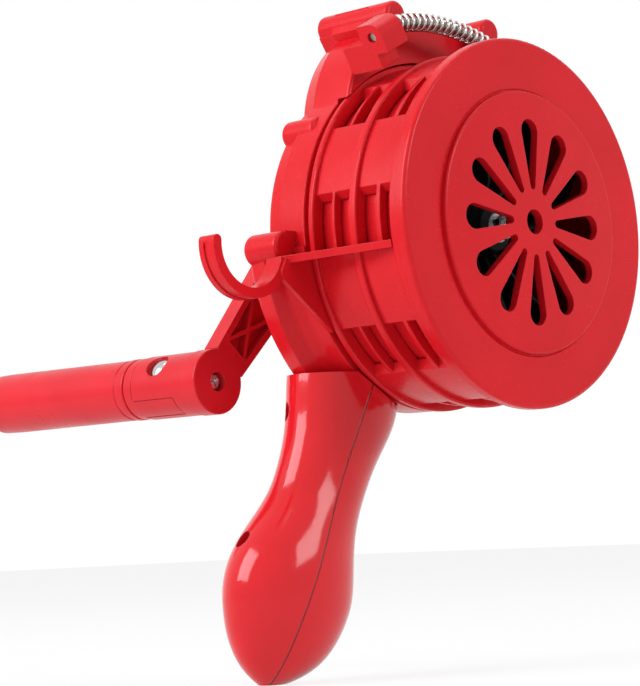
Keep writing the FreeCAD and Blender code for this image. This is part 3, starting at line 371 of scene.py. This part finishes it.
@dataclass(frozen=True)
class Metal:
    """Metal with turning marks, stains and small pits."""

    name: str
    body: Colour
    shade: Colour
    roughness: float
    lines: float = 0.10
    stain: float = 0.5
    pits: float = 0.05

    def material(self) -> bpy.types.Material:
        """Builds the node material.

        Returns:
            The material.
        """
        g = Graph(self.name)
        cloud = g.noise(420.0, 5.0, 0.65)
        stain = g.calc("MULTIPLY", g.steps(cloud, 0.42, 0.72), self.stain)
        colour = g.blend(stain, self.body, self.shade)
        rings = g.noise(120.0, 2.0, 0.5, stretch=(1.0, 40.0, 1.0))
        rough = g.steps(rings, 0.3, 0.7, self.roughness * 0.7, self.roughness * 1.4)
        rough = g.calc("ADD", rough, g.calc("MULTIPLY", stain, 0.15))
        soft, _ = g.edges(0.12 * MM)
        normal = g.bump(rings, self.lines, 0.03 * MM, soft)
        normal = g.bump(g.noise(3200.0, 2.0, 0.5), self.pits, 0.03 * MM, normal)
        return g.surface(colour, rough, normal, metallic=1.0)


HANDLE_SEAM = SeamLine((-0.0420, 0.0613, -0.0890), (-0.81186, 0.43167, 0.39312))
# The third colour of each plastic is its lighter edge colour, a painted edge highlight mixed with
# wear.
RED_GLOSS = MouldedPlastic("red_gloss", (0.610, 0.0090, 0.0160), (0.540, 0.0070, 0.0120),
                           (0.720, 0.0400, 0.0500), roughness=0.24, level=0.16)
RED_HANDLE = MouldedPlastic("red_handle", (0.620, 0.0100, 0.0165), (0.550, 0.0070, 0.0120),
                            (0.720, 0.0400, 0.0500), roughness=0.12, coat=0.08, peel=0.09,
                            level=0.28, seam=HANDLE_SEAM)
RED_CRANK = MouldedPlastic("red_crank", (0.600, 0.0110, 0.0200), (0.520, 0.0080, 0.0150),
                           (0.700, 0.0450, 0.0550), roughness=0.30, grain=0.06, level=0.25)
BLACK = MouldedPlastic("black_fan", (0.020, 0.020, 0.022), (0.012, 0.012, 0.013),
                       (0.060, 0.060, 0.062), roughness=0.42, grain=0.08, dust=0.25)
NYLON = MouldedPlastic("white_nylon", (0.700, 0.685, 0.600), (0.620, 0.600, 0.510),
                       (0.780, 0.770, 0.700), roughness=0.45, grain=0.05)
STEEL = Metal("bright_steel", (0.60, 0.59, 0.58), (0.26, 0.24, 0.22), 0.15)
BRONZE = Metal("sintered_bronze", (0.46, 0.27, 0.12), (0.28, 0.16, 0.08), 0.38, pits=0.2)
ZINC = Metal("zinc_plate", (0.62, 0.63, 0.64), (0.44, 0.42, 0.38), 0.26)
ROPE = Metal("wire_rope", (0.36, 0.32, 0.27), (0.17, 0.13, 0.10), 0.34, stain=0.8)

NODE_FINISHES: dict[str, MouldedPlastic | Metal] = {
    "front_cover": RED_GLOSS, "stator_drum": RED_GLOSS, "belt_hook": RED_GLOSS,
    "gearbox_body": RED_GLOSS, "gearbox_cover": RED_GLOSS, "rotor_ring": RED_GLOSS,
    "handle_shell_left": RED_HANDLE, "handle_shell_right": RED_HANDLE,
    "impeller": BLACK, "crank_arm": RED_CRANK, "grip_fork": RED_CRANK,
    "grip_spindle": RED_CRANK, "crank_grip": RED_CRANK,
    "idler_gear": NYLON, "idler_pinion": NYLON, "crank_gear": NYLON,
    "carry_spring": STEEL, "fold_pin": STEEL, "rotor_shaft": STEEL, "rotor_pinion": STEEL,
    "crank_shaft": STEEL, "idler_pin": STEEL, "spring_core": ROPE,
    "rotor_bush_front": BRONZE, "rotor_bush_rear": BRONZE, "crank_bush": BRONZE,
    "handle_screws": ZINC, "cover_screws": ZINC, "drum_screws": ZINC, "rotor_screws": ZINC,
    "rotor_washer": ZINC, "rotor_nut": ZINC, "crank_washer": ZINC, "crank_screw": ZINC,
    "fork_screw": ZINC, "grip_washer": ZINC, "grip_screw": ZINC,
}


class FinishShelf:
    """Builds each finish once and hands it out."""

    def __init__(self) -> None:
        """Starts with no finish made."""
        self.made: dict[str, bpy.types.Material] = {}

    def get(self, finish: MouldedPlastic | Metal) -> bpy.types.Material:
        """Gives the material of a finish.

        Args:
            finish: the finish wanted.

        Returns:
            Its material.
        """
        if finish.name not in self.made:
            self.made[finish.name] = finish.material()
        return self.made[finish.name]


def dress(piece: bpy.types.Object, material: bpy.types.Material) -> None:
    """Gives an object one material.

    Args:
        piece: the object.
        material: its material.
    """
    piece.data.materials.clear()
    piece.data.materials.append(material)


# Modelling steps

def deselect() -> None:
    """Leaves nothing selected."""
    for other in bpy.context.view_layer.objects:
        other.select_set(False)


def pick(piece: bpy.types.Object) -> None:
    """Selects one object and makes it active."""
    deselect()
    piece.select_set(True)
    bpy.context.view_layer.objects.active = piece


def settle(piece: bpy.types.Object) -> None:
    """Bakes an object's place into its mesh."""
    pick(piece)
    bpy.ops.object.transform_apply(location=True, rotation=True, scale=True)


def smooth(piece: bpy.types.Object, degrees: float = 35.0) -> None:
    """Shades a piece smooth up to an edge angle."""
    pick(piece)
    bpy.ops.object.shade_smooth_by_angle(angle=math.radians(degrees))


def select_faces(piece: bpy.types.Object, test: Callable[[Vector, Vector], bool]) -> None:
    """Selects faces of the active piece in edit mode.

    Args:
        piece: the object, in object mode.
        test: takes a face's centre and normal and says whether it is wanted.
    """
    for part in (piece.data.vertices, piece.data.edges):
        for item in part:
            item.select = False
    for face in piece.data.polygons:
        face.select = test(face.center, face.normal)


def cut_with(piece: bpy.types.Object, tool: bpy.types.Object) -> None:
    """Cuts one object with another one, which is then removed.

    Args:
        piece: the object to cut.
        tool: the cutter.
    """
    pick(piece)
    change = piece.modifiers.new("cut", "BOOLEAN")
    change.operation = "DIFFERENCE"
    change.solver = "EXACT"
    change.object = tool
    bpy.ops.object.modifier_apply(modifier=change.name)
    bpy.data.objects.remove(tool)


@dataclass
class CrossheadScrew:
    """A pan head screw with a cross recess, drawn upright and then put in its place."""

    head_r: float
    head_t: float
    shank_r: float
    shank_l: float
    recess: float = 0.55
    thread: bool = True

    def model(self, name: str) -> bpy.types.Object:
        """Models the screw at the origin with its head's underside in the XY plane.

        Args:
            name: name of the new object.

        Returns:
            The screw, head towards +Z.
        """
        deselect()
        bpy.ops.mesh.primitive_cylinder_add(vertices=40, radius=self.head_r, depth=self.head_t,
                                            location=(0, 0, self.head_t / 2))
        head = bpy.context.active_object
        head.name = name
        settle(head)
        select_faces(head, lambda c, n: n.z > 0.9)
        bpy.ops.object.mode_set(mode="EDIT")
        bpy.ops.mesh.select_mode(type="FACE")
        bpy.ops.mesh.bevel(offset=self.head_t * 0.55, segments=5, affect="EDGES")
        bpy.ops.object.mode_set(mode="OBJECT")
        reach = self.head_r * 1.15
        for turn in (0.0, math.pi / 2):
            deselect()
            bpy.ops.mesh.primitive_cube_add(size=1.0, location=(0, 0, self.head_t),
                                            rotation=(0, 0, turn))
            blade = bpy.context.active_object
            blade.scale = (reach, self.head_r * 0.26, self.head_t * self.recess * 2)
            settle(blade)
            cut_with(head, blade)
        deselect()
        bpy.ops.mesh.primitive_cylinder_add(vertices=24, radius=self.shank_r,
                                            depth=self.shank_l + 0.1 * MM,
                                            location=(0, 0, -self.shank_l / 2 + 0.05 * MM))
        shank = bpy.context.active_object
        settle(shank)
        select_faces(shank, lambda c, n: n.z < -0.9)
        bpy.ops.object.mode_set(mode="EDIT")
        bpy.ops.mesh.select_mode(type="FACE")
        bpy.ops.mesh.bevel(offset=self.shank_r * 0.4, segments=1, affect="EDGES")
        bpy.ops.object.mode_set(mode="OBJECT")
        deselect()
        shank.select_set(True)
        head.select_set(True)
        bpy.context.view_layer.objects.active = head
        bpy.ops.object.join()
        return head

    def place(self, piece: bpy.types.Object, seat: Point, way: Point, spin: float) -> None:
        """Puts a modelled screw on its seat.

        Args:
            piece: the screw.
            seat: middle of the seat under the head, in metres.
            way: direction from the shank to the head.
            spin: turn of the recess in radians.
        """
        turn = Vector((0, 0, 1)).rotation_difference(Vector(way)).to_matrix().to_4x4()
        piece.matrix_world = Matrix.Translation(seat) @ turn @ Matrix.Rotation(spin, 4, "Z")
        settle(piece)
        smooth(piece)


@dataclass
class Fixings:
    """The crosshead screws that show: gearbox cover, crank hub, crank boss and grip end."""

    cover_seats: tuple[tuple[float, float], ...] = ((25.0, 74.3), (45.0, 35.0), (65.0, -6.0))
    cover_seat_y: float = 64.2
    crank_z: float = 24.0
    crank_angle: float = 227.8
    crank_radius: float = 97.6
    cover_screw: CrossheadScrew = field(default_factory=lambda: CrossheadScrew(
        2.8 * MM, 1.7 * MM, 1.06 * MM, 11.6 * MM))
    crank_screw: CrossheadScrew = field(default_factory=lambda: CrossheadScrew(
        4.2 * MM, 2.2 * MM, 1.76 * MM, 12.3 * MM))
    fork_screw: CrossheadScrew = field(default_factory=lambda: CrossheadScrew(
        3.1 * MM, 1.9 * MM, 1.06 * MM, 7.7 * MM))
    grip_screw: CrossheadScrew = field(default_factory=lambda: CrossheadScrew(
        3.0 * MM, 1.8 * MM, 1.26 * MM, 11.1 * MM))

    def boss(self) -> tuple[float, float]:
        """Gives X and Z of the crank's outer boss in millimetres."""
        a = math.radians(self.crank_angle)
        return (self.crank_radius * math.cos(a), self.crank_z + self.crank_radius * math.sin(a))

    def build(self, shelf: FinishShelf) -> list[bpy.types.Object]:
        """Models all screws.

        Args:
            shelf: finishes.

        Returns:
            The new objects.
        """
        material = shelf.get(ZINC)
        made: list[bpy.types.Object] = []
        for index, (x, z) in enumerate(self.cover_seats):
            for side in (-1, 1):
                name = f"cover_screw_{index * 2 + (side + 3) // 2}"
                piece = self.cover_screw.model(name)
                self.cover_screw.place(piece, (side * x * MM, self.cover_seat_y * MM, z * MM),
                                       (0, 1, 0), 0.7 * index + 0.3 * side)
                dress(piece, material)
                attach(piece, "housing")
                made.append(piece)
        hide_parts("cover_screws")
        bx, bz = self.boss()
        singles = (("crank_centre_screw", self.crank_screw, (0, 93.4, self.crank_z), (0, 1, 0),
                    "crank", "crank_screw"),
                   ("crank_fork_screw", self.fork_screw, (bx, 89.6, bz), (0, -1, 0),
                    "crank", "fork_screw"),
                   ("grip_end_screw", self.grip_screw, (bx, 196.2, bz), (0, 1, 0),
                    "grip_pivot", "grip_screw"))
        for name, kind, seat, way, body, node in singles:
            piece = kind.model(name)
            kind.place(piece, tuple(v * MM for v in seat), way, 0.4)
            dress(piece, material)
            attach(piece, body)
            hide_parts(node)
            made.append(piece)
        return made


@dataclass
class RopeCore:
    """Laid wire rope inside the carry spring, following the spring's axis."""

    spring_y: float = 28.7
    tilt: float = 28.0
    lug: tuple[float, float] = (-43.0, 63.0)
    lug_length: float = 11.5
    bend_r: float = 14.5
    arch_r: float = 87.2
    left_slope: float = 13.0
    right_slope: float = 24.5
    rope_r: float = 1.6
    strands: int = 6
    lay: float = 11.0

    def axis(self) -> list[Vector]:
        """Works out points on the axis from lug to lug.

        Returns:
            Points in metres.
        """
        points: list[Vector] = []
        slope = math.radians(self.tilt)
        x, z = self.lug
        x, z = x + 1.0 * math.cos(slope), z + 1.0 * math.sin(slope)
        points.append(Vector((x, self.spring_y, z)))
        step = self.lug_length - 1.0
        x, z = x + step * math.cos(slope), z + step * math.sin(slope)
        points.append(Vector((x, self.spring_y, z)))
        for radius, start, end in ((self.bend_r, self.tilt, self.left_slope),
                                   (self.arch_r, self.left_slope, -self.right_slope),
                                   (self.bend_r, -self.right_slope, -self.tilt)):
            count = max(2, round(abs(start - end)))
            for k in range(1, count + 1):
                a = math.radians(start)
                b = math.radians(start + (end - start) * k / count)
                points.append(Vector((x + radius * (math.sin(a) - math.sin(b)), self.spring_y,
                                      z + radius * (math.cos(b) - math.cos(a)))))
            x, z = points[-1].x, points[-1].z
        slope = math.radians(-self.tilt)
        points.append(Vector((x + step * math.cos(slope), self.spring_y,
                              z + step * math.sin(slope))))
        return [p * MM for p in points]

    def build(self, shelf: FinishShelf) -> bpy.types.Object:
        """Models the rope as a lobed ring, twisted along its length and bent on the axis.

        Args:
            shelf: finishes.

        Returns:
            The rope.
        """
        path = self.axis()
        length = sum((b - a).length for a, b in zip(path, path[1:]))
        around = self.strands * 6
        deselect()
        bpy.ops.mesh.primitive_circle_add(vertices=around, radius=self.rope_r * MM * 0.97,
                                          fill_type="NGON")
        rope = bpy.context.active_object
        rope.name = "carry_rope"
        for vertex in rope.data.vertices:
            angle = math.atan2(vertex.co.y, vertex.co.x)
            lobe = 0.86 + 0.14 * abs(math.cos(self.strands * angle / 2)) ** 0.6
            vertex.co.x *= lobe
            vertex.co.y *= lobe
        slices = 260
        rows: list[Vector] = []
        ring = [vertex.co.copy() for vertex in rope.data.vertices]
        mesh = bpy.data.meshes.new("carry_rope")
        marks = [0.0]
        for a, b in zip(path, path[1:]):
            marks.append(marks[-1] + (b - a).length)
        segment = 0
        for k in range(slices + 1):
            s = length * k / slices
            while segment < len(path) - 2 and s > marks[segment + 1]:
                segment += 1
            a, b = path[segment], path[segment + 1]
            along = (b - a).normalized()
            middle = a + along * (s - marks[segment])
            side = Vector((0, 1, 0))
            up = side.cross(along)
            twist = 2 * math.pi * s / (self.lay * MM)
            for point in ring:
                c, d = math.cos(twist), math.sin(twist)
                rows.append(middle + side * (point.x * c - point.y * d)
                            + up * (point.x * d + point.y * c))
        faces: list[Sequence[int]] = []
        for k in range(slices):
            for i in range(around):
                j = (i + 1) % around
                faces.append((k * around + i, k * around + j,
                              (k + 1) * around + j, (k + 1) * around + i))
        faces.append(tuple(range(around - 1, -1, -1)))
        faces.append(tuple(range(slices * around, (slices + 1) * around)))
        mesh.from_pydata([tuple(p) for p in rows], [], faces)
        rope.data = mesh
        pick(rope)
        bpy.ops.object.mode_set(mode="EDIT")
        bpy.ops.mesh.select_all(action="SELECT")
        bpy.ops.mesh.normals_make_consistent(inside=False)
        bpy.ops.object.mode_set(mode="OBJECT")
        smooth(rope, 60.0)
        dress(rope, shelf.get(ROPE))
        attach(rope, "housing")
        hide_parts("spring_core")
        return rope


# Studio

@dataclass
class Studio:
    """Pale floor, soft lamps, white surroundings and the camera at the photograph's angle."""

    floor_z: float = -0.1508
    world_strength: float = 0.34
    camera_at: Point = (-0.624345, -0.496273, -0.102761)
    camera_rows: tuple[Point, Point, Point] = ((0.692392, -0.720257, -0.042701),
                                               (0.029458, 0.087352, -0.995742),
                                               (0.720920, 0.688185, 0.081699))
    lens: float = 133.34

    def floor(self) -> bpy.types.Object:
        """Makes the floor, which shows near white with the object's soft shadow.

        Returns:
            The floor.
        """
        deselect()
        bpy.ops.mesh.primitive_plane_add(size=8.0, location=(0, 0, self.floor_z))
        floor = bpy.context.active_object
        floor.name = "studio_floor"
        settle(floor)
        pick(floor)
        bpy.ops.object.mode_set(mode="EDIT")
        bpy.ops.mesh.subdivide(number_cuts=3)
        bpy.ops.object.mode_set(mode="OBJECT")
        g = Graph("studio_floor")
        base = g.add("ShaderNodeBsdfPrincipled")
        base.inputs["Roughness"].default_value = 0.9
        tone = g.blend(g.steps(g.noise(3.0, 2.0), 0.3, 0.7), (0.86, 0.86, 0.86), (0.9, 0.9, 0.9))
        g.link(tone, base.inputs["Base Color"])
        glow = g.add("ShaderNodeEmission")
        glow.inputs["Strength"].default_value = 1.0
        rays = g.add("ShaderNodeLightPath")
        seen = g.calc("MULTIPLY", g.calc("MAXIMUM", g.calc("MAXIMUM", rays.outputs["Is Camera Ray"],
                                                           rays.outputs["Is Glossy Ray"]),
                                         rays.outputs["Is Transmission Ray"]), 0.86)
        mix = g.add("ShaderNodeMixShader")
        g.link(seen, mix.inputs["Fac"])
        g.link(base.outputs["BSDF"], mix.inputs[1])
        g.link(glow.outputs["Emission"], mix.inputs[2])
        g.link(mix.outputs["Shader"], g.output.inputs["Surface"])
        dress(floor, g.material)
        return floor

    def world(self) -> None:
        """Sets even grey light with a white look for camera, glossy and transmission rays."""
        world = bpy.data.worlds.new("studio")
        bpy.context.scene.world = world
        world.use_nodes = True
        tree = world.node_tree
        tree.nodes.clear()
        output = tree.nodes.new("ShaderNodeOutputWorld")
        lit = tree.nodes.new("ShaderNodeBackground")
        lit.inputs["Color"].default_value = (1.0, 1.0, 1.0, 1.0)
        lit.inputs["Strength"].default_value = self.world_strength
        seen = tree.nodes.new("ShaderNodeBackground")
        seen.inputs["Color"].default_value = (1.0, 1.0, 1.0, 1.0)
        seen.inputs["Strength"].default_value = 1.0
        rays = tree.nodes.new("ShaderNodeLightPath")
        first = tree.nodes.new("ShaderNodeMath")
        first.operation = "MAXIMUM"
        second = tree.nodes.new("ShaderNodeMath")
        second.operation = "MAXIMUM"
        tree.links.new(rays.outputs["Is Camera Ray"], first.inputs[0])
        tree.links.new(rays.outputs["Is Glossy Ray"], first.inputs[1])
        tree.links.new(first.outputs[0], second.inputs[0])
        tree.links.new(rays.outputs["Is Transmission Ray"], second.inputs[1])
        mix = tree.nodes.new("ShaderNodeMixShader")
        tree.links.new(second.outputs[0], mix.inputs["Fac"])
        tree.links.new(lit.outputs[0], mix.inputs[1])
        tree.links.new(seen.outputs[0], mix.inputs[2])
        tree.links.new(mix.outputs[0], output.inputs["Surface"])

    def lamp(self, name: str, at: Point, aim: Point, size: tuple[float, float], power: float,
             colour: Colour = (1.0, 1.0, 1.0)) -> None:
        """Adds one soft box.

        Args:
            name: name of the lamp.
            at: its place.
            aim: the point that it faces.
            size: its width and height.
            power: its power in watts.
            colour: its colour.
        """
        light = bpy.data.lights.new(name, "AREA")
        light.shape = "RECTANGLE"
        light.size, light.size_y = size
        light.energy = power
        light.color = colour
        holder = bpy.data.objects.new(name, light)
        bpy.context.collection.objects.link(holder)
        holder.location = at
        away = Vector(aim) - Vector(at)
        holder.rotation_euler = away.to_track_quat("-Z", "Y").to_euler()

    def camera(self) -> None:
        """Puts the camera at the photograph's viewing angle."""
        data = bpy.data.cameras.new("photo_camera")
        data.lens = self.lens
        data.sensor_width = 36.0
        data.sensor_fit = "HORIZONTAL"
        data.clip_start = 0.01
        data.clip_end = 50.0
        holder = bpy.data.objects.new("photo_camera", data)
        bpy.context.collection.objects.link(holder)
        right, down, ahead = (Vector(row) for row in self.camera_rows)
        turn = Matrix((right, -down, -ahead)).transposed().to_4x4()
        holder.matrix_world = Matrix.Translation(self.camera_at) @ turn
        bpy.context.scene.camera = holder

    def build(self) -> None:
        """Builds floor, light and camera."""
        self.floor()
        self.world()
        self.lamp("key_left", (-1.05, 0.45, 0.62), (0, 0.05, 0), (0.8, 0.8), 18.0,
                  (0.93, 0.95, 1.0))
        self.lamp("front_soft", (0.30, -1.35, 0.62), (0, 0, 0), (0.8, 0.6), 11.0)
        self.lamp("top_soft", (0.1, 0.0, 1.3), (0, 0.03, 0), (1.0, 1.0), 5.0)
        self.camera()
        bpy.context.scene.view_settings.view_transform = "Standard"


def dress_frame(nodes: dict[str, bpy.types.Object], shelf: FinishShelf) -> None:
    """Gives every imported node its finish.

    Args:
        nodes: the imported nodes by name.
        shelf: finishes.
    """
    for name, finish in NODE_FINISHES.items():
        dress(nodes[name], shelf.get(finish))
        LOG.info("%s: %s", name, finish.name)


def main(frame: dict[str, object]) -> None:
    """Builds the looks in order.
    """
    logging.basicConfig(level=logging.INFO, format="%(name)s %(message)s")
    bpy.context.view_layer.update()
    shelf = FinishShelf()
    dress_frame(frame["nodes"], shelf)
    for piece in Fixings().build(shelf):
        LOG.info("%s: %d faces", piece.name, len(piece.data.polygons))
    rope = RopeCore().build(shelf)
    LOG.info("%s: %d faces", rope.name, len(rope.data.polygons))
    Studio().build()
    deselect()


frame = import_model()

if __name__ == "__main__":
    main(frame)
